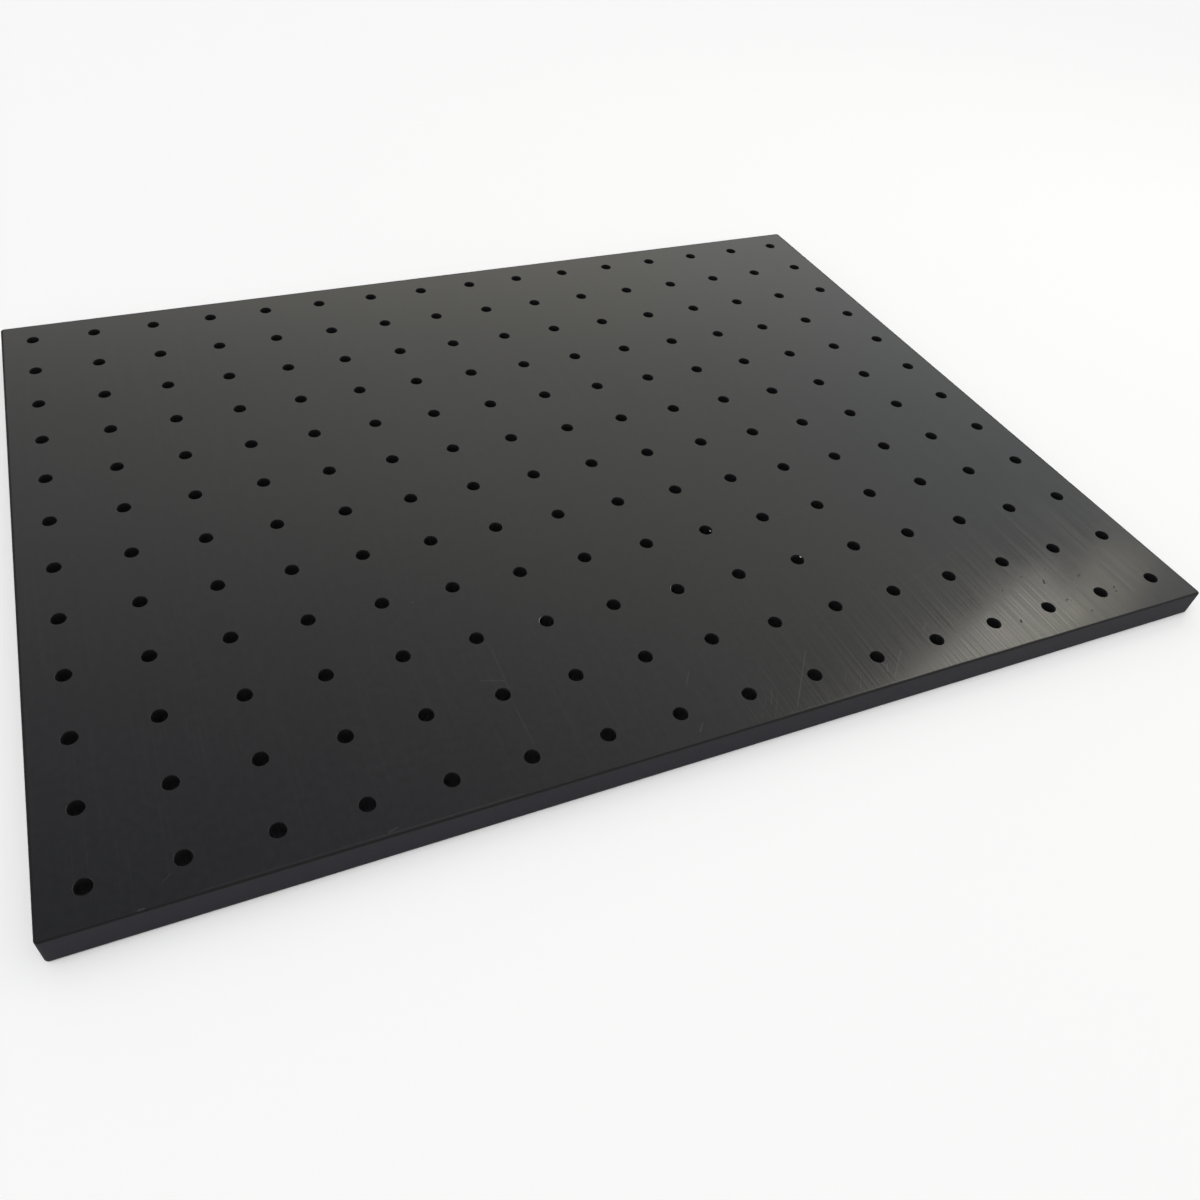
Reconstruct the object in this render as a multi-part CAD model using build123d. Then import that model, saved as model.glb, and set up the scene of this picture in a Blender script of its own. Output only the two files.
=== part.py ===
from build123d import *

import os

# A perforated board: one sheet of black polyethylene, sawn to size and drilled right
# through on a square grid. It is a single piece, so it is a single node.
#
# Frame, in millimetres: the origin is the centre of the underside, +X runs along the
# long side, +Y along the short side from the front edge to the back, and +Z is up.

# Driving dimensions: the grid of holes sets the size of the sheet.
PITCH = 50.0
COLUMNS = 16
ROWS = 12
EDGE_MARGIN = PITCH / 2
THICKNESS = 20.0
HOLE_DIAMETER = 10.0

# Finishing cuts.
CORNER_RADIUS = 3.0  # the four upright corners
EDGE_RADIUS = 1.0  # the outline of both faces
RIM_BREAK = 0.3  # 45 degree deburring cut at both ends of each hole
OVERCUT = 0.5  # how far the drill runs past each face, so that it cuts cleanly

LENGTH = (COLUMNS - 1) * PITCH + 2 * EDGE_MARGIN
WIDTH = (ROWS - 1) * PITCH + 2 * EDGE_MARGIN


def sheet():
    """The sheet before drilling, with rounded corners and eased edges."""
    blank = extrude(RectangleRounded(LENGTH, WIDTH, CORNER_RADIUS), amount=THICKNESS)
    underside, *_, top = blank.faces().sort_by(Axis.Z)
    return fillet(underside.edges() + top.edges(), EDGE_RADIUS)


def drill():
    """The cutter for one hole, standing on the origin: a straight drill that flares
    at 45 degrees from one rim break below each face."""
    radius = HOLE_DIAMETER / 2
    flared = radius + RIM_BREAK + OVERCUT
    half_section = Polyline(
        (0, -OVERCUT),
        (flared, -OVERCUT),
        (radius, RIM_BREAK),
        (radius, THICKNESS - RIM_BREAK),
        (flared, THICKNESS + OVERCUT),
        (0, THICKNESS + OVERCUT),
        close=True,
    )
    return revolve(Plane.XZ * make_face(half_section), Axis.Z)


def perforated_board():
    """The sheet with every hole of the grid drilled through it."""
    cutter = drill()
    grid = GridLocations(PITCH, PITCH, COLUMNS, ROWS)
    return sheet() - [place * cutter for place in grid]


os.makedirs("parts", exist_ok=True)
export_step(perforated_board(), os.path.join("parts", "perforated_board.step"))
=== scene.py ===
"""Dress and light a perforated board of black polyethylene sheet.

The board is one piece: it is sawn to size, planed on both faces and drilled right
through on a square grid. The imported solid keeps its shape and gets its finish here,
and the few shreds that the drill left in the holes are small pieces of their own.
"""

import logging
import math
from dataclasses import dataclass
from enum import Enum

import bmesh
import bpy
from mathutils import Matrix, Vector


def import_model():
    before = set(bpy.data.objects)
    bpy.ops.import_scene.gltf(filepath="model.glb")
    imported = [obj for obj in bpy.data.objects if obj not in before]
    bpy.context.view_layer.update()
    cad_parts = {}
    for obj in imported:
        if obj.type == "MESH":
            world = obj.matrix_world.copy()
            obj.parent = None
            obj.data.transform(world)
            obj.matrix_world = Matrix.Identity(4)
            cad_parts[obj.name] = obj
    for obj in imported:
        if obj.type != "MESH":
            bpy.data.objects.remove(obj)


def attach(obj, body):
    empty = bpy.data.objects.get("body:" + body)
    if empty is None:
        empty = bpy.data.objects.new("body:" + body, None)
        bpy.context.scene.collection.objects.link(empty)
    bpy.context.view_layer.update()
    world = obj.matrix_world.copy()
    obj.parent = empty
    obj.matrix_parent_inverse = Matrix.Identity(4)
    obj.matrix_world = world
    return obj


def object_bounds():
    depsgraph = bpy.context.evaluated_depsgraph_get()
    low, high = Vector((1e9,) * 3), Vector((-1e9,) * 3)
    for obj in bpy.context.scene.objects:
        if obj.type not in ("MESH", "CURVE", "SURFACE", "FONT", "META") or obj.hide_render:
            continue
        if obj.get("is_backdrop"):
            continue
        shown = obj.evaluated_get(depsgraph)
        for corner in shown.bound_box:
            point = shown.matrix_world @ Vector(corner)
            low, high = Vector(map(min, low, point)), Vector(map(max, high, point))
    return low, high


LOG = logging.getLogger("perforated_board")

MM = 0.001
BOARD_NODE = "perforated_board"

# Mix node: its settings, inputs and output when it blends colours or plain numbers.
COLOURS = {"data_type": "RGBA"}
PRODUCT = {"data_type": "RGBA", "blend_type": "MULTIPLY"}
NUMBERS = {"data_type": "FLOAT"}
SHARE = 0
FIRST_COLOUR, SECOND_COLOUR, MIXED_COLOUR = 6, 7, 2
FIRST_NUMBER, SECOND_NUMBER = 2, 3

Colour = tuple[float, float, float, float]
Point = tuple[float, float]
Socket = bpy.types.NodeSocket


def linear(code: str) -> Colour:
    """Turn an sRGB hex colour into the linear one that shaders take.

    Args:
        code: The colour, as "#rrggbb".

    Returns:
        Linear red, green and blue, and an alpha of 1.
    """
    channels = [int(code[i : i + 2], 16) / 255 for i in (1, 3, 5)]
    curve = [c / 12.92 if c <= 0.04045 else ((c + 0.055) / 1.055) ** 2.4 for c in channels]
    return (curve[0], curve[1], curve[2], 1.0)


def grey(value: float) -> Colour:
    """Return a linear grey of the given value."""
    return (value, value, value, 1.0)


def add_node(
    tree: bpy.types.NodeTree,
    kind: str,
    settings: dict | None = None,
    inputs: dict | None = None,
    output: int | str = 0,
) -> Socket | None:
    """Add one node, set it up and link it.

    Args:
        tree: The node tree that gets the node.
        kind: Blender's name for the type, without its "ShaderNode".
        settings: The node's own properties.
        inputs: A value, or a socket to link, for each input's name or number.
        output: The output that the caller wants.

    Returns:
        That output, whose node attribute is the node itself, or None if it has none.
    """
    node = tree.nodes.new("ShaderNode" + kind)
    for name, value in (settings or {}).items():
        setattr(node, name, value)
    for name, value in (inputs or {}).items():
        if isinstance(value, bpy.types.NodeSocket):
            tree.links.new(value, node.inputs[name])
        else:
            node.inputs[name].default_value = value
    return node.outputs[output] if len(node.outputs) else None


def empty_material(name: str) -> bpy.types.Material:
    """Make a material without nodes.

    Args:
        name: Its name.

    Returns:
        The material, whose node tree is empty.
    """
    material = bpy.data.materials.new(name)
    material.use_nodes = True
    material.node_tree.nodes.clear()
    return material


class Cut(Enum):
    """What was done to the planed sheet, and its painted arris shade, in the order that each went
    over the last.
    """

    SAWN = "sawn"
    DRILLED = "drilled"
    DEBURRED = "deburred"
    # Not a cut: a darker band on the rounded arrises, painted shade of their dark edge line.
    SCRAPED = "painted_arris_shade"
    SCRATCHED = "scratched"
    PITTED = "pitted"


@dataclass(frozen=True)
class CutFinish:
    """Colour and roughness that a cut leaves on the plastic."""

    colour: str
    roughness: float


@dataclass(frozen=True)
class Pattern:
    """Noise that the surface shows in its colour, its gloss or its relief."""

    spacing: float  # mm between its features
    detail: float  # finer layers on top of the first
    roughness: float = 0.5  # strength of each layer, as a share of the one before
    stretch: tuple[float, float, float] = (1.0, 1.0, 1.0)  # how fast it changes by axis
    dimensions: str = "3D"


@dataclass(frozen=True)
class Mark:
    """A scratch or a pit on the upper face, in millimetres from the centre."""

    start: Point
    end: Point
    width: float  # mm to each side of its line, where it has faded out
    strength: float  # how plainly it shows, from 0 to 1


SCRATCHES = (
    Mark((81.0, -254.5), (49.0, -294.5), 0.5, 0.12),
    Mark((132.0, -129.0), (167.0, -126.0), 0.4, 0.09),
    Mark((182.5, -223.5), (202.5, -217.5), 0.8, 0.025),
    Mark((202.5, -217.5), (251.0, -202.5), 0.8, 0.035),
    Mark((41.0, -276.5), (34.0, -287.0), 0.6, 0.07),
    Mark((-3.5, -245.5), (-10.5, -255.5), 0.5, 0.10),
    Mark((-15.5, -286.5), (-20.0, -291.5), 0.6, 0.13),
    Mark((144.0, -275.5), (126.0, -293.5), 0.7, 0.08),
    Mark((-120.0, -215.0), (-135.0, -210.0), 0.6, 0.08),
    Mark((-218.5, -296.5), (-213.5, -295.0), 1.1, 0.06),
    Mark((-350.5, -298.0), (-347.5, -298.0), 0.8, 0.12),
    Mark((-337.5, -286.5), (-332.5, -282.5), 0.5, 0.05),
    Mark((177.0, -260.0), (172.0, -264.0), 1.8, 0.04),
    Mark((-320.0, -297.5), (-230.0, -297.5), 0.6, 0.04),
    Mark((-230.0, -297.5), (-140.0, -297.5), 0.6, 0.06),
    Mark((40.0, -297.5), (120.0, -297.5), 0.5, 0.06),
    Mark((120.0, -297.5), (220.0, -297.5), 0.5, 0.12),
    Mark((43.0, -280.5), (31.0, -297.0), 0.5, 0.05),
    Mark((34.0, -281.0), (30.0, -287.0), 0.5, 0.05),
    Mark((127.5, -282.5), (124.0, -288.0), 0.7, 0.10),
    Mark((105.5, -283.5), (98.0, -294.5), 0.5, 0.06),
    Mark((96.0, -280.0), (91.5, -285.5), 0.5, 0.05),
    Mark((26.0, -291.5), (22.5, -294.5), 0.5, 0.05),
    Mark((147.0, -279.5), (145.5, -287.0), 0.6, 0.05),
    Mark((-118.5, -184.5), (-120.0, -221.5), 0.5, 0.06),
    Mark((-121.5, -238.5), (-120.0, -267.0), 0.5, 0.05),
    Mark((-155.5, -130.5), (-155.0, -130.5), 0.8, 0.15),
)

PITS = (
    Mark((290.0, -254.0), (291.5, -251.5), 1.2, 0.46),
    Mark((245.0, -280.5), (246.0, -279.0), 1.1, 0.46),
    Mark((321.0, -256.0), (323.5, -255.0), 1.0, 0.42),
    Mark((277.5, -243.5), (278.5, -242.5), 1.0, 0.32),
    Mark((301.5, -241.5), (303.5, -241.0), 0.9, 0.28),
    Mark((293.5, -273.5), (295.0, -273.0), 0.9, 0.38),
    Mark((338.5, -274.5), (340.0, -273.5), 0.9, 0.38),
    Mark((337.0, -278.0), (338.0, -277.5), 0.9, 0.32),
    Mark((303.5, -288.5), (305.0, -287.5), 0.9, 0.28),
    Mark((253.5, -250.5), (254.5, -250.0), 0.8, 0.28),
    Mark((-354.0, -159.5), (-354.0, -158.5), 1.0, 0.38),
)


@dataclass(frozen=True)
class BlackPolyethylene:
    """High density polyethylene sheet, coloured right through with carbon black.

    The sheet is planed, which leaves a satin face that mirrors the room softly, with
    fine tracks along its short side. A saw leaves a dull edge with a faint violet cast,
    and a drill leaves a bore that is nearly black. A thin band along the rounded arrises
    is coloured darker, as painted shade of the dark line that the edge shows.
    """

    half_length: float  # mm
    half_width: float  # mm
    name: str = "black_polyethylene_sheet"
    ior: float = 1.54
    sawn: CutFinish = CutFinish("#110f1b", 0.85)
    drilled: CutFinish = CutFinish("#17171a", 0.7)
    deburred: CutFinish = CutFinish("#18181a", 0.4)
    # The arris band's darker colour is painted shade of the dark edge line.
    painted_arris_shade: CutFinish = CutFinish("#0c0c0e", 0.7)
    scratched: CutFinish = CutFinish("#6f706c", 0.6)
    pitted: CutFinish = CutFinish("#0a0a0a", 0.9)

    # Where each cut, and the painted arris shade, reaches.
    flat_from: float = 0.9  # share of the normal along Z, above which a face is planed
    rim_from: float = 0.3  # above which a hole's surface is its deburred rim
    upright_to: float = 0.15  # below which a side is upright, outside the band of painted arris shade
    edge_band: float = 1.05  # mm of the outline that belong to the saw cut
    arris_shade_reach: tuple[float, float] = (2.1, 1.5)  # mm in, to the limit of the painted arris shade and to where it is full
    arris_shade_waver: float = 0.8  # mm that its inner limit wanders
    mark_core: float = 0.25  # share of a mark's width that shows at full strength

    # Patterns. The grain is drawn coarser than real, so that it shows.
    swell: Pattern = Pattern(70.0, 2.0)
    mottle: Pattern = Pattern(5.0, 3.0)
    grain: Pattern = Pattern(0.9, 3.0)
    wander: Pattern = Pattern(25.0, 2.0)
    tracks: Pattern = Pattern(1.8, 1.0, 0.75, (1.0, 0.012, 1.0), "2D")
    saw_marks: Pattern = Pattern(1.6, 2.0, stretch=(0.05, 0.05, 1.0))

    # Colour of the planed faces, each pair from dark to light.
    swell_colours: tuple[str, str] = ("#121316", "#191a1e")
    mottle_colours: tuple[str, str] = ("#0b0b0d", "#232324")
    mottle_share: float = 0.6
    line_from: float = 0.60  # level of a track, from 0 to 1, above which it shows
    line_full: float = 0.78
    line_share: float = 0.012  # of the scratches' colour in the palest line

    # Roughness of the planed faces.
    track_levels: tuple[float, float] = (0.3, 0.7)  # of the tracks' noise
    track_roughness: tuple[float, float] = (0.105, 0.215)  # at those levels
    swell_roughness: float = 0.06  # from the smoothest swell to the roughest

    # Relief, in millimetres.
    track_height: float = 0.013
    swell_height: float = 0.015
    saw_height: float = 0.05
    grain_height: float = 0.03

    def material(self) -> bpy.types.Material:
        """Build the material.

        Returns:
            A material with its own node tree.
        """
        material = empty_material(self.name)
        tree = material.node_tree
        place = add_node(tree, "TexCoord", output="Object")
        point = add_node(tree, "VectorMath", {"operation": "SCALE"}, {0: place, "Scale": 1 / MM})
        normal = add_node(tree, "NewGeometry", output="True Normal")
        facing = add_node(tree, "SeparateXYZ", None, {0: normal}, "Z")
        noises = self.noises(tree, point)
        cuts = self.cut_masks(tree, point, facing, noises["wander"])
        cuts |= self.mark_masks(tree, point, facing)
        bump = add_node(
            tree,
            "Bump",
            None,
            {"Strength": 1.0, "Distance": MM, "Height": self.height(tree, cuts, noises)},
        )
        shader = add_node(
            tree,
            "BsdfPrincipled",
            None,
            {
                "Base Color": self.colour(tree, cuts, noises),
                "Roughness": self.roughness(tree, cuts, noises),
                "IOR": self.ior,
                "Normal": bump,
            },
        )
        add_node(tree, "OutputMaterial", None, {"Surface": shader})
        return material

    def finishes(self) -> dict[Cut, CutFinish]:
        """Gather the finish of each cut.

        Returns:
            The finishes, in the order that they go over each other.
        """
        return {
            Cut.SAWN: self.sawn,
            Cut.DRILLED: self.drilled,
            Cut.DEBURRED: self.deburred,
            Cut.SCRAPED: self.painted_arris_shade,
            Cut.SCRATCHED: self.scratched,
            Cut.PITTED: self.pitted,
        }

    def noises(self, tree: bpy.types.NodeTree, point: Socket) -> dict[str, Socket]:
        """Draw every pattern.

        Args:
            tree: The material's node tree.
            point: Place on the board in millimetres.

        Returns:
            The level of each pattern, between 0 and 1, by its name.
        """
        patterns = {
            "swell": self.swell,
            "mottle": self.mottle,
            "grain": self.grain,
            "wander": self.wander,
            "tracks": self.tracks,
            "saw_marks": self.saw_marks,
        }
        levels = {}
        for name, pattern in patterns.items():
            stretched = add_node(
                tree, "VectorMath", {"operation": "MULTIPLY"}, {0: point, 1: pattern.stretch}
            )
            levels[name] = add_node(
                tree,
                "TexNoise",
                {"noise_dimensions": pattern.dimensions, "normalize": True},
                {
                    "Vector": stretched,
                    "Scale": 1 / pattern.spacing,
                    "Detail": pattern.detail,
                    "Roughness": pattern.roughness,
                },
            )
        return levels

    def cut_masks(
        self, tree: bpy.types.NodeTree, point: Socket, facing: Socket, wander: Socket
    ) -> dict[Cut, Socket]:
        """Tell the tools' cuts apart by where they are and how they face.

        Args:
            tree: The material's node tree.
            point: Place on the board in millimetres.
            facing: The surface's normal along Z.
            wander: The noise that the painted arris shade's inner limit follows.

        Returns:
            A mask for each cut that a tool made, and one for the painted arris shade.
        """
        tilt = add_node(tree, "Math", {"operation": "ABSOLUTE"}, {0: facing})
        planed = add_node(
            tree, "Math", {"operation": "GREATER_THAN"}, {0: tilt, 1: self.flat_from}
        )
        across = add_node(tree, "VectorMath", {"operation": "ABSOLUTE"}, {0: point})
        reach = add_node(
            tree,
            "VectorMath",
            {"operation": "SUBTRACT"},
            {0: across, 1: (self.half_length, self.half_width, 0.0)},
        )
        parts = add_node(tree, "SeparateXYZ", None, {0: reach}).node
        nearest = add_node(
            tree, "Math", {"operation": "MAXIMUM"}, {0: parts.outputs["X"], 1: parts.outputs["Y"]}
        )
        outline = add_node(
            tree, "Math", {"operation": "GREATER_THAN"}, {0: nearest, 1: -self.edge_band}
        )
        inside = add_node(tree, "Math", {"operation": "SUBTRACT"}, {0: 1.0, 1: planed})
        sawn = add_node(tree, "Math", {"operation": "MULTIPLY"}, {0: outline, 1: inside})
        holes = add_node(
            tree, "Math", {"operation": "SUBTRACT", "use_clamp": True}, {0: inside, 1: sawn}
        )
        tilted = add_node(
            tree, "Math", {"operation": "GREATER_THAN"}, {0: tilt, 1: self.rim_from}
        )
        deburred = add_node(tree, "Math", {"operation": "MULTIPLY"}, {0: holes, 1: tilted})
        return {
            Cut.SAWN: sawn,
            Cut.DRILLED: holes,
            Cut.DEBURRED: deburred,
            # The band of painted shade along the arrises.
            Cut.SCRAPED: self.painted_arris_shade_mask(tree, nearest, tilt, wander),
        }

    def painted_arris_shade_mask(
        self, tree: bpy.types.NodeTree, nearest: Socket, tilt: Socket, wander: Socket
    ) -> Socket:
        """Return the band along the outline that is coloured darker, as painted shade on the
        arris.

        Args:
            tree: The material's node tree.
            nearest: Distance to the outline in millimetres, below 0 inside it.
            tilt: How much of the surface's normal is along Z, up or down.
            wander: The noise that its inner limit follows.

        Returns:
            The band, on everything but the upright sides.
        """
        moved = add_node(
            tree,
            "Math",
            {"operation": "MULTIPLY_ADD"},
            {0: wander, 1: self.arris_shade_waver, 2: nearest},
        )
        inner, full = self.arris_shade_reach
        middle = self.arris_shade_waver / 2
        band = add_node(
            tree,
            "MapRange",
            {"interpolation_type": "SMOOTHSTEP"},
            {"Value": moved, "From Min": middle - inner, "From Max": middle - full},
        )
        rounded = add_node(
            tree, "Math", {"operation": "GREATER_THAN"}, {0: tilt, 1: self.upright_to}
        )
        return add_node(tree, "Math", {"operation": "MULTIPLY"}, {0: band, 1: rounded})

    def mark_mask(self, tree: bpy.types.NodeTree, flat: Socket, mark: Mark) -> Socket:
        """Return how plainly one mark shows at a point.

        Args:
            tree: The material's node tree.
            flat: Place on the face in millimetres, with a height of 0.
            mark: The scratch or pit.

        Returns:
            The mark's strength along its line, falling to 0 at its sides.
        """
        line = Vector(mark.end) - Vector(mark.start)
        offset = add_node(
            tree, "VectorMath", {"operation": "SUBTRACT"}, {0: flat, 1: (*mark.start, 0.0)}
        )
        along = add_node(
            tree,
            "VectorMath",
            {"operation": "DOT_PRODUCT"},
            {0: offset, 1: (*(line / line.length_squared), 0.0)},
            "Value",
        )
        held = add_node(tree, "Clamp", None, {"Value": along})
        foot = add_node(
            tree, "VectorMath", {"operation": "SCALE"}, {0: (*line, 0.0), "Scale": held}
        )
        miss = add_node(
            tree, "VectorMath", {"operation": "DISTANCE"}, {0: offset, 1: foot}, "Value"
        )
        return add_node(
            tree,
            "MapRange",
            {"interpolation_type": "SMOOTHSTEP"},
            {
                "Value": miss,
                "From Min": self.mark_core * mark.width,
                "From Max": mark.width,
                "To Min": mark.strength,
                "To Max": 0.0,
            },
        )

    def mark_masks(
        self, tree: bpy.types.NodeTree, point: Socket, facing: Socket
    ) -> dict[Cut, Socket]:
        """Gather the scratches and the pits of the upper face.

        Args:
            tree: The material's node tree.
            point: Place on the board in millimetres.
            facing: The surface's normal along Z.

        Returns:
            A mask of the scratches and one of the pits.
        """
        upper = add_node(
            tree, "Math", {"operation": "GREATER_THAN"}, {0: facing, 1: self.flat_from}
        )
        flat = add_node(
            tree, "VectorMath", {"operation": "MULTIPLY"}, {0: point, 1: (1.0, 1.0, 0.0)}
        )
        masks = {}
        for cut, marks in ((Cut.SCRATCHED, SCRATCHES), (Cut.PITTED, PITS)):
            whole = self.mark_mask(tree, flat, marks[0])
            for mark in marks[1:]:
                one = self.mark_mask(tree, flat, mark)
                whole = add_node(tree, "Math", {"operation": "MAXIMUM"}, {0: whole, 1: one})
            masks[cut] = add_node(tree, "Math", {"operation": "MULTIPLY"}, {0: whole, 1: upper})
        return masks

    def track_lines(self, tree: bpy.types.NodeTree, tracks: Socket) -> Socket:
        """Return the few tracks that are deep enough to show as paler lines.

        Args:
            tree: The material's node tree.
            tracks: The planer's tracks.

        Returns:
            How pale each line is.
        """
        return add_node(
            tree,
            "MapRange",
            {"interpolation_type": "SMOOTHSTEP"},
            {
                "Value": tracks,
                "From Min": self.line_from,
                "From Max": self.line_full,
                "To Max": self.line_share,
            },
        )

    def colour(
        self, tree: bpy.types.NodeTree, cuts: dict[Cut, Socket], noises: dict[str, Socket]
    ) -> Socket:
        """Return the plastic's colour on every cut.

        Args:
            tree: The material's node tree.
            cuts: The masks of the cuts.
            noises: The patterns' levels.

        Returns:
            The colour.
        """
        shades = {}
        for name, pair in (("swell", self.swell_colours), ("mottle", self.mottle_colours)):
            dark, light = (linear(code) for code in pair)
            inputs = {SHARE: noises[name], FIRST_COLOUR: dark, SECOND_COLOUR: light}
            shades[name] = add_node(tree, "Mix", COLOURS, inputs, MIXED_COLOUR)
        layers = [
            (self.mottle_share, shades["mottle"]),
            (self.track_lines(tree, noises["tracks"]), linear(self.scratched.colour)),
        ]
        # Among these, the arris band's darker colour is painted shade.
        for cut, finish in self.finishes().items():
            layers.append((cuts[cut], linear(finish.colour)))
        colour = shades["swell"]
        for share, over in layers:
            inputs = {SHARE: share, FIRST_COLOUR: colour, SECOND_COLOUR: over}
            colour = add_node(tree, "Mix", COLOURS, inputs, MIXED_COLOUR)
        return colour

    def roughness(
        self, tree: bpy.types.NodeTree, cuts: dict[Cut, Socket], noises: dict[str, Socket]
    ) -> Socket:
        """Return the roughness on every cut.

        Args:
            tree: The material's node tree.
            cuts: The masks of the cuts.
            noises: The patterns' levels.

        Returns:
            The roughness.
        """
        low, high = self.track_levels
        smooth, rough = self.track_roughness
        streaks = add_node(
            tree,
            "MapRange",
            None,
            {
                "Value": noises["tracks"],
                "From Min": low,
                "From Max": high,
                "To Min": smooth,
                "To Max": rough,
            },
        )
        drift = add_node(
            tree,
            "Math",
            {"operation": "MULTIPLY_ADD"},
            {0: noises["swell"], 1: self.swell_roughness, 2: -self.swell_roughness / 2},
        )
        level = add_node(tree, "Math", {"operation": "ADD"}, {0: streaks, 1: drift})
        for cut, finish in self.finishes().items():
            inputs = {SHARE: cuts[cut], FIRST_NUMBER: level, SECOND_NUMBER: finish.roughness}
            level = add_node(tree, "Mix", NUMBERS, inputs)
        return level

    def height(
        self, tree: bpy.types.NodeTree, cuts: dict[Cut, Socket], noises: dict[str, Socket]
    ) -> Socket:
        """Return the fine relief of every cut, in millimetres.

        Args:
            tree: The material's node tree.
            cuts: The masks of the cuts.
            noises: The patterns' levels.

        Returns:
            The height.
        """
        reliefs = []
        for coarse, coarse_height, fine, fine_height in (
            ("tracks", self.track_height, "swell", self.swell_height),
            ("saw_marks", self.saw_height, "grain", self.grain_height),
        ):
            base = add_node(
                tree, "Math", {"operation": "MULTIPLY"}, {0: noises[coarse], 1: coarse_height}
            )
            relief = add_node(
                tree,
                "Math",
                {"operation": "MULTIPLY_ADD"},
                {0: noises[fine], 1: fine_height, 2: base},
            )
            reliefs.append(relief)
        face, side = reliefs
        inputs = {SHARE: cuts[Cut.SAWN], FIRST_NUMBER: face, SECOND_NUMBER: side}
        return add_node(tree, "Mix", NUMBERS, inputs)


@dataclass(frozen=True)
class PerforatedBoard:
    """The drilled sheet itself, whose solid comes from the frame."""

    finish: BlackPolyethylene

    def dress(self, board: bpy.types.Object) -> None:
        """Give the solid its finish.

        Args:
            board: The frame's object for the board.
        """
        material = self.finish.material()
        for slot in board.material_slots:
            slot.material = material
        LOG.info("%s dressed in %s", board.name, material.name)


@dataclass(frozen=True)
class ShredGlintPlastic:
    """Torn polyethylene of a burr or a chip, coloured pale as a painted glint."""

    name: str
    colour: str
    ior: float = 1.54
    roughness: float = 0.45
    fold_painted_shade: float = 0.4  # of the colour's brightness where the tear relief is lowest, painted shade in the folds
    tear_spacing: float = 0.4  # mm
    tear_detail: float = 3.0
    tear_depth: float = 0.1  # mm
    tear_strength: float = 0.6

    def material(self) -> bpy.types.Material:
        """Build the material.

        Returns:
            A material with its own node tree.
        """
        material = empty_material(self.name)
        tree = material.node_tree
        place = add_node(tree, "TexCoord", output="Object")
        point = add_node(tree, "VectorMath", {"operation": "SCALE"}, {0: place, "Scale": 1 / MM})
        tear = add_node(
            tree,
            "TexNoise",
            None,
            {"Vector": point, "Scale": 1 / self.tear_spacing, "Detail": self.tear_detail},
        )
        # The pale colour is a painted glint on the burr or chip.
        pale = linear(self.colour)
        # Darker where the tear relief is low: painted shade in the folds.
        dark = (*(self.fold_painted_shade * channel for channel in pale[:3]), 1.0)
        inputs = {SHARE: tear, FIRST_COLOUR: dark, SECOND_COLOUR: pale}
        colour = add_node(tree, "Mix", COLOURS, inputs, MIXED_COLOUR)
        bump = add_node(
            tree,
            "Bump",
            None,
            {"Strength": self.tear_strength, "Distance": self.tear_depth * MM, "Height": tear},
        )
        shader = add_node(
            tree,
            "BsdfPrincipled",
            None,
            {
                "Base Color": colour,
                "Roughness": self.roughness,
                "IOR": self.ior,
                "Normal": bump,
            },
        )
        add_node(tree, "OutputMaterial", None, {"Surface": shader})
        return material


@dataclass(frozen=True)
class Shred:
    """A sliver that the drill left along a hole's rim or wall, in millimetres."""

    name: str
    hole: Point
    radius: float  # from the hole's axis to the sliver's middle
    height: float
    start: float  # degrees round the hole from +X
    sweep: float
    half_width: float
    half_height: float
    finish: ShredGlintPlastic
    steps: int = 24
    sides: int = 10
    thinnest: float = 0.12  # of its width, at its tips
    fullness: float = 0.6  # power of the taper: below 1 it is full for most of its length

    def build(self) -> bpy.types.Object:
        """Build the sliver and let it ride with the board.

        Returns:
            Its object.
        """
        shape = bmesh.new()
        turn = Matrix.Translation((self.radius, 0.0, 0.0)) @ Matrix.Rotation(
            math.radians(90.0), 4, "X"
        )
        bmesh.ops.create_circle(shape, cap_ends=True, segments=self.sides, radius=1.0, matrix=turn)
        for vert in shape.verts:
            vert.co.x = self.radius + (vert.co.x - self.radius) * self.half_width
            vert.co.z *= self.half_height
        bmesh.ops.spin(
            shape,
            geom=list(shape.verts) + list(shape.edges) + list(shape.faces),
            cent=(0.0, 0.0, 0.0),
            axis=(0.0, 0.0, 1.0),
            angle=math.radians(self.sweep),
            steps=self.steps,
            use_duplicate=False,
        )
        for vert in shape.verts:
            self.taper(vert)
        shift = Matrix.Translation((*self.hole, self.height)) @ Matrix.Rotation(
            math.radians(self.start), 4, "Z"
        )
        bmesh.ops.transform(shape, verts=list(shape.verts), matrix=Matrix.Scale(MM, 4) @ shift)
        bmesh.ops.recalc_face_normals(shape, faces=list(shape.faces))
        mesh = bpy.data.meshes.new(self.name)
        shape.to_mesh(mesh)
        shape.free()
        mesh.shade_smooth()
        mesh.materials.append(self.finish.material())
        piece = bpy.data.objects.new(self.name, mesh)
        bpy.context.collection.objects.link(piece)
        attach(piece, "root")
        LOG.info("%s built, %d faces", piece.name, len(mesh.polygons))
        return piece

    def taper(self, vert: bmesh.types.BMVert) -> None:
        """Draw a point in towards the sliver's middle line, most at its tips.

        Args:
            vert: A point of the sliver before it is put in place.
        """
        angle = math.atan2(vert.co.y, vert.co.x)
        share = min(1.0, max(0.0, angle / math.radians(self.sweep)))
        width = max(self.thinnest, math.sin(math.pi * share) ** self.fullness)
        middle = Vector((self.radius * math.cos(angle), self.radius * math.sin(angle), 0.0))
        vert.co = middle + (vert.co - middle) * width


# Pale grey and near-white, painted glints of the burrs and chips.
BURR_PAINTED_GLINT = ShredGlintPlastic("polyethylene_torn", "#8c8c8e")
CHIP_PAINTED_GLINT = ShredGlintPlastic("polyethylene_stretched", "#dcdcde")

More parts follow.
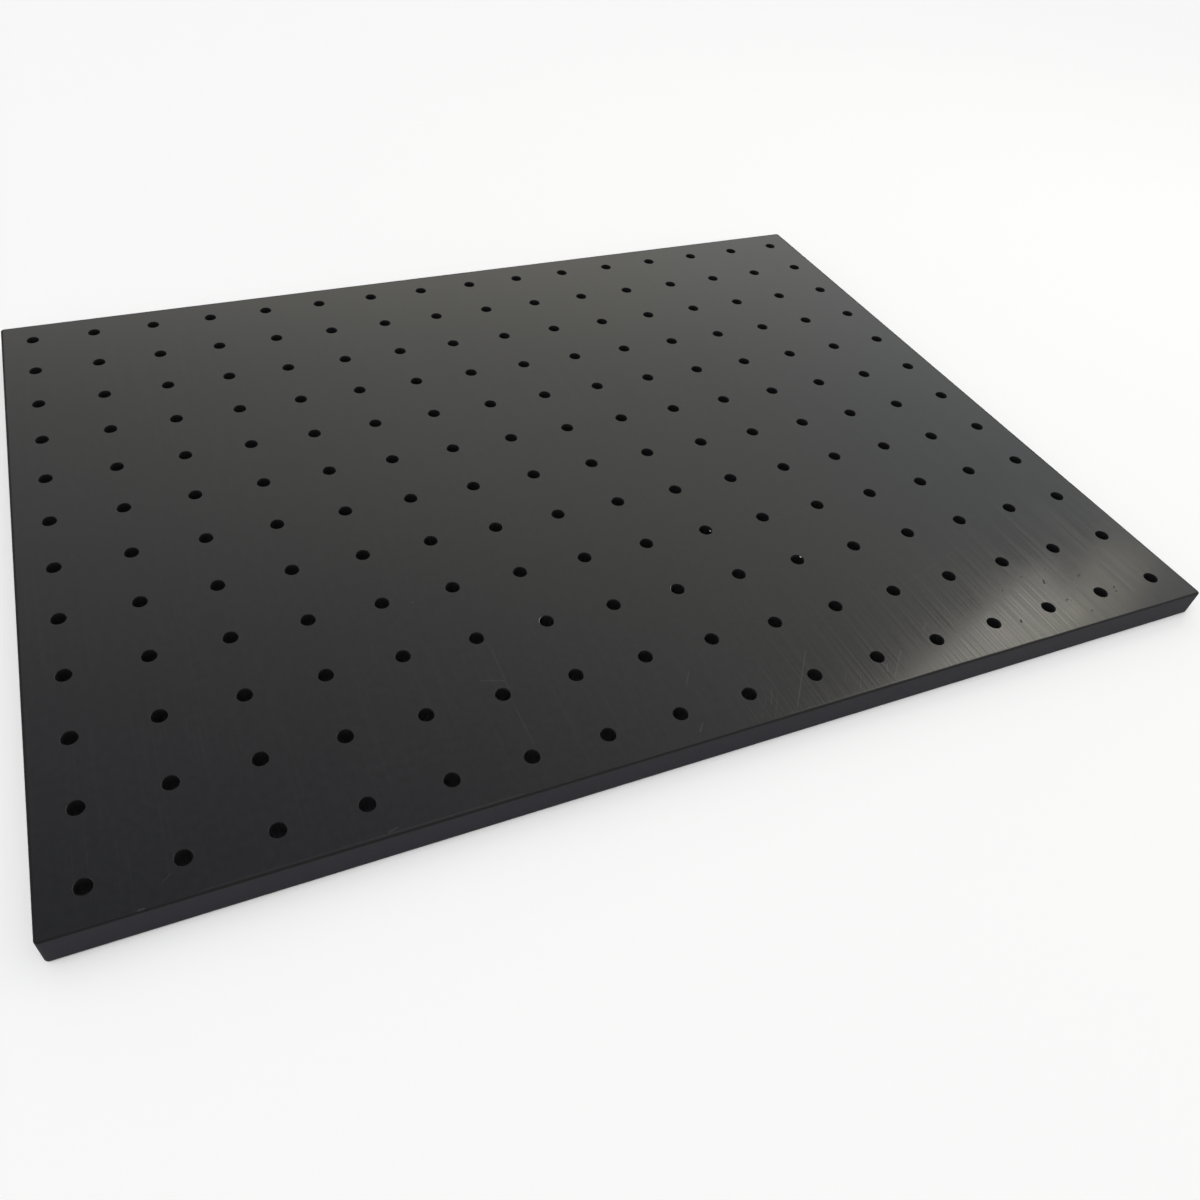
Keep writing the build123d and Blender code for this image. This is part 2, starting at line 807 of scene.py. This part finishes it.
SHREDS = (
    Shred(
        name="wall_chip",
        hole=(75.0, -125.0),
        radius=4.75,
        height=17.2,
        start=-4.0,
        sweep=20.0,
        half_width=0.50,
        half_height=0.50,
        finish=CHIP_PAINTED_GLINT,
    ),
    Shred(
        name="rim_chip",
        hole=(125.0, -175.0),
        radius=4.72,
        height=19.55,
        start=16.0,
        sweep=24.0,
        half_width=0.48,
        half_height=0.35,
        finish=CHIP_PAINTED_GLINT,
    ),
    Shred(
        name="rim_burr",
        hole=(-75.0, -175.0),
        radius=5.10,
        height=19.84,
        start=105.0,
        sweep=85.0,
        half_width=0.30,
        half_height=0.15,
        finish=BURR_PAINTED_GLINT,
    ),
    Shred(
        name="rim_burr_small",
        hole=(25.0, -175.0),
        radius=5.08,
        height=19.86,
        start=120.0,
        sweep=60.0,
        half_width=0.20,
        half_height=0.12,
        finish=BURR_PAINTED_GLINT,
    ),
)


@dataclass(frozen=True)
class Window:
    """A small light that the planed face mirrors as a bright patch."""

    middle: Point  # mm on the level of the upper face, where the camera sees its middle
    band: float  # degrees from +X to the way that its long side runs on the face
    size: tuple[float, float]  # metres, long side first
    radiance: float
    colour: str


@dataclass(frozen=True)
class Change:
    """A straight change from one level to another as something else grows."""

    start: float
    stop: float
    before: float = 0.0
    after: float = 1.0


@dataclass(frozen=True)
class Studio:
    """The floor, the room, the lamps and the camera."""

    face_height: float  # mm of the board's upper face above the floor
    floor_size: float = 14.0  # metres
    floor_drop: float = 0.0002  # metres, which keeps the floor clear of the underside
    floor_colour: str = "#fbfbfb"

    # The room. A height runs from -1, straight down, to 1, straight up.
    ambient: float = 0.52  # strength of the even grey that lights matt surfaces
    backdrop: Change = Change(0.28, 0.38)  # by height, from plain white to the walls
    wall: Change = Change(0.44, 0.52)  # by height, to where the walls are shaded
    ceiling: Change = Change(0.62, 0.90)  # by height, to the ceiling, shaded once more
    wall_shade: str = "#e8e9ee"  # what the walls are dimmed by, slightly blue
    ceiling_shade: str = "#b3b3bc"
    bright_bearing: float = 60.0  # degrees from +Y towards +X, to the bright side
    bright_side: Change = Change(-0.30, 0.60)  # by the share of the way to that bearing
    bright_end: Change = Change(0.75, 0.95)
    dim_wall: str = "#797b88"
    bright_wall: str = "#fffdf0"
    end_wall: str = "#ecf0f5"
    front: Change = Change(-0.35, -0.05, 0.2, 1.0)  # by depth: dim in front of the board
    front_raise: Change = Change(0.34, 0.44)  # by height, to where the front is dim

    # The lamps.
    sun_strength: float = 1.45
    sun_azimuth: float = -120.0  # degrees from +Y towards +X
    sun_elevation: float = 75.0  # degrees above the floor
    sun_width: float = 40.0  # degrees across its disc
    windows: tuple[Window, ...] = (
        Window((130.0, -323.0), 19.0, (0.68, 0.13), 3.0, "#fff9ea"),
        Window((315.0, -286.0), 33.0, (0.24, 0.11), 1.2, "#fff8dc"),
    )
    window_distance: float = 1.5  # metres

    # The camera.
    camera_place: tuple[float, float, float] = (-0.2815, -0.5852, 0.5026)  # metres
    camera_aim: tuple[float, float, float] = (-0.0719, -0.1552, 0.020)
    camera_roll: float = 5.76  # degrees
    camera_lens: float = 29.65  # mm
    camera_sensor: float = 36.0  # mm
    camera_shift: float = 0.05  # of the frame's width
    camera_range: tuple[float, float] = (0.01, 100.0)  # metres, the nearest and farthest

    def build(self) -> None:
        """Build everything around the object."""
        scene = bpy.context.scene
        scene.view_settings.view_transform = "Standard"
        self.floor()
        self.room(scene)
        self.sun()
        for number, window in enumerate(self.windows, 1):
            self.window(number, window)
        self.camera(scene)

    def floor(self) -> None:
        """Lay a pale floor that is clear from below."""
        mesh = bpy.data.meshes.new("floor")
        shape = bmesh.new()
        bmesh.ops.create_grid(
            shape,
            x_segments=1,
            y_segments=1,
            size=self.floor_size / 2,
            matrix=Matrix.Translation((0.0, 0.0, -self.floor_drop)),
        )
        shape.to_mesh(mesh)
        shape.free()
        floor = bpy.data.objects.new("floor", mesh)
        bpy.context.collection.objects.link(floor)
        material = empty_material("pale_paper_backdrop")
        tree = material.node_tree
        paper = add_node(tree, "BsdfDiffuse", None, {"Color": linear(self.floor_colour)})
        clear = add_node(tree, "BsdfTransparent")
        behind = add_node(tree, "NewGeometry", output="Backfacing")
        both = add_node(tree, "MixShader", None, {0: behind, 1: paper, 2: clear})
        add_node(tree, "OutputMaterial", None, {"Surface": both})
        mesh.materials.append(material)
        floor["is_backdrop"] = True
        LOG.info("floor laid")

    def room(self, scene: bpy.types.Scene) -> None:
        """Make a room that is white low down and dim overhead.

        The camera, mirrors and clear things see the room itself, and matt surfaces are
        lit by an even grey.

        Args:
            scene: The scene that gets the world.
        """
        world = bpy.data.worlds.new("studio_room")
        scene.world = world
        world.use_nodes = True
        tree = world.node_tree
        tree.nodes.clear()
        path = add_node(tree, "LightPath").node
        mirror = add_node(
            tree,
            "Math",
            {"operation": "ADD"},
            {0: path.outputs["Is Glossy Ray"], 1: path.outputs["Is Transmission Ray"]},
        )
        watched = add_node(
            tree,
            "Math",
            {"operation": "ADD", "use_clamp": True},
            {0: path.outputs["Is Camera Ray"], 1: mirror},
        )
        seen = add_node(
            tree, "Background", None, {"Color": self.room_colour(tree), "Strength": 1.0}
        )
        even = add_node(
            tree, "Background", None, {"Color": grey(1.0), "Strength": self.ambient}
        )
        both = add_node(tree, "MixShader", None, {0: watched, 1: even, 2: seen})
        add_node(tree, "OutputWorld", None, {"Surface": both})
        LOG.info("room painted")

    def room_colour(self, tree: bpy.types.NodeTree) -> Socket:
        """Return the room's colour in every direction.

        Args:
            tree: The world's node tree.

        Returns:
            The colour.
        """
        way = add_node(tree, "TexCoord", output="Generated")
        parts = add_node(tree, "SeparateXYZ", None, {0: way}).node
        depth, height = parts.outputs["Y"], parts.outputs["Z"]
        bearing = math.radians(self.bright_bearing)
        side = add_node(
            tree,
            "VectorMath",
            {"operation": "DOT_PRODUCT"},
            {0: way, 1: (math.sin(bearing), math.cos(bearing), 0.0)},
            "Value",
        )
        levels = []
        for value, change in (
            (height, self.backdrop),
            (height, self.wall),
            (height, self.ceiling),
            (side, self.bright_side),
            (side, self.bright_end),
            (depth, self.front),
            (height, self.front_raise),
        ):
            level = add_node(
                tree,
                "MapRange",
                None,
                {
                    "Value": value,
                    "From Min": change.start,
                    "From Max": change.stop,
                    "To Min": change.before,
                    "To Max": change.after,
                },
            )
            levels.append(level)
        backdrop, wall, ceiling, lit, end, front, raised = levels

        colour = linear(self.dim_wall)
        for share, over in ((lit, self.bright_wall), (end, self.end_wall)):
            inputs = {SHARE: share, FIRST_COLOUR: colour, SECOND_COLOUR: linear(over)}
            colour = add_node(tree, "Mix", COLOURS, inputs, MIXED_COLOUR)
        inputs = {SHARE: backdrop, FIRST_COLOUR: grey(1.0), SECOND_COLOUR: colour}
        colour = add_node(tree, "Mix", COLOURS, inputs, MIXED_COLOUR)
        for share, shade in (
            (wall, linear(self.wall_shade)),
            (ceiling, linear(self.ceiling_shade)),
            (raised, front),
        ):
            inputs = {SHARE: share, FIRST_COLOUR: colour, SECOND_COLOUR: shade}
            colour = add_node(tree, "Mix", PRODUCT, inputs, MIXED_COLOUR)
        return colour

    def sun(self) -> None:
        """Hang the main light, wide and soft, high up in front of the board on the left."""
        lamp = bpy.data.lights.new("main_light", "SUN")
        lamp.energy = self.sun_strength
        lamp.angle = math.radians(self.sun_width)
        piece = bpy.data.objects.new("main_light", lamp)
        turn, rise = math.radians(self.sun_azimuth), math.radians(self.sun_elevation)
        way = Vector(
            (math.sin(turn) * math.cos(rise), math.cos(turn) * math.cos(rise), math.sin(rise))
        )
        piece.rotation_euler = (-way).to_track_quat("-Z", "Y").to_euler()
        piece.visible_glossy = False  # too broad a disc to mirror in a satin face
        bpy.context.collection.objects.link(piece)
        LOG.info("main light hung")

    def window(self, number: int, window: Window) -> None:
        """Hang a window light where the face mirrors it towards the camera.

        Args:
            number: Its number, for its name.
            window: Its size and place.
        """
        target = Vector((*window.middle, self.face_height)) * MM
        sight = target - Vector(self.camera_place)
        way = Vector((sight.x, sight.y, -sight.z)).normalized()
        lamp = bpy.data.lights.new(f"window_{number}", "AREA")
        lamp.shape = "RECTANGLE"
        lamp.size, lamp.size_y = window.size
        lamp.color = linear(window.colour)[:3]
        lamp.energy = window.radiance * math.pi * lamp.size * lamp.size_y
        piece = bpy.data.objects.new(lamp.name, lamp)
        turned = math.radians(window.band)
        band = Vector((math.cos(turned), math.sin(turned), 0.0))
        long_side = (band - band.dot(way) * way).normalized()
        short_side = way.cross(long_side).normalized()
        turn = Matrix((long_side, short_side, way)).transposed().to_4x4()
        piece.matrix_world = Matrix.Translation(target + self.window_distance * way) @ turn
        piece.visible_camera = False
        bpy.context.collection.objects.link(piece)
        LOG.info("%s hung", piece.name)

    def camera(self, scene: bpy.types.Scene) -> None:
        """Set the camera up.

        Args:
            scene: The scene that gets the camera.
        """
        lens = bpy.data.cameras.new("camera")
        lens.lens = self.camera_lens
        lens.sensor_width = self.camera_sensor
        lens.shift_x = self.camera_shift
        lens.clip_start, lens.clip_end = self.camera_range
        camera = bpy.data.objects.new("camera", lens)
        sight = Vector(self.camera_aim) - Vector(self.camera_place)
        aim = sight.to_track_quat("-Z", "Y").to_matrix().to_4x4()
        roll = Matrix.Rotation(math.radians(self.camera_roll), 4, "Z")
        camera.matrix_world = Matrix.Translation(self.camera_place) @ aim @ roll
        bpy.context.collection.objects.link(camera)
        scene.camera = camera
        LOG.info("camera set up")


def main() -> None:
    """Load the frame, dress the board and light it."""
    logging.basicConfig(level=logging.INFO, format="%(name)s: %(message)s")
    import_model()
    solid_box = [list(corner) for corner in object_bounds()]
    # The board is centred and lies on the floor, so its upper corner gives its sizes.
    half_length, half_width, face_height = (reach / MM for reach in solid_box[1])
    Studio(face_height).build()
    plastic = BlackPolyethylene(half_length, half_width)
    PerforatedBoard(plastic).dress(bpy.data.objects[BOARD_NODE])
    for shred in SHREDS:
        shred.build()


if __name__ == "__main__":
    main()
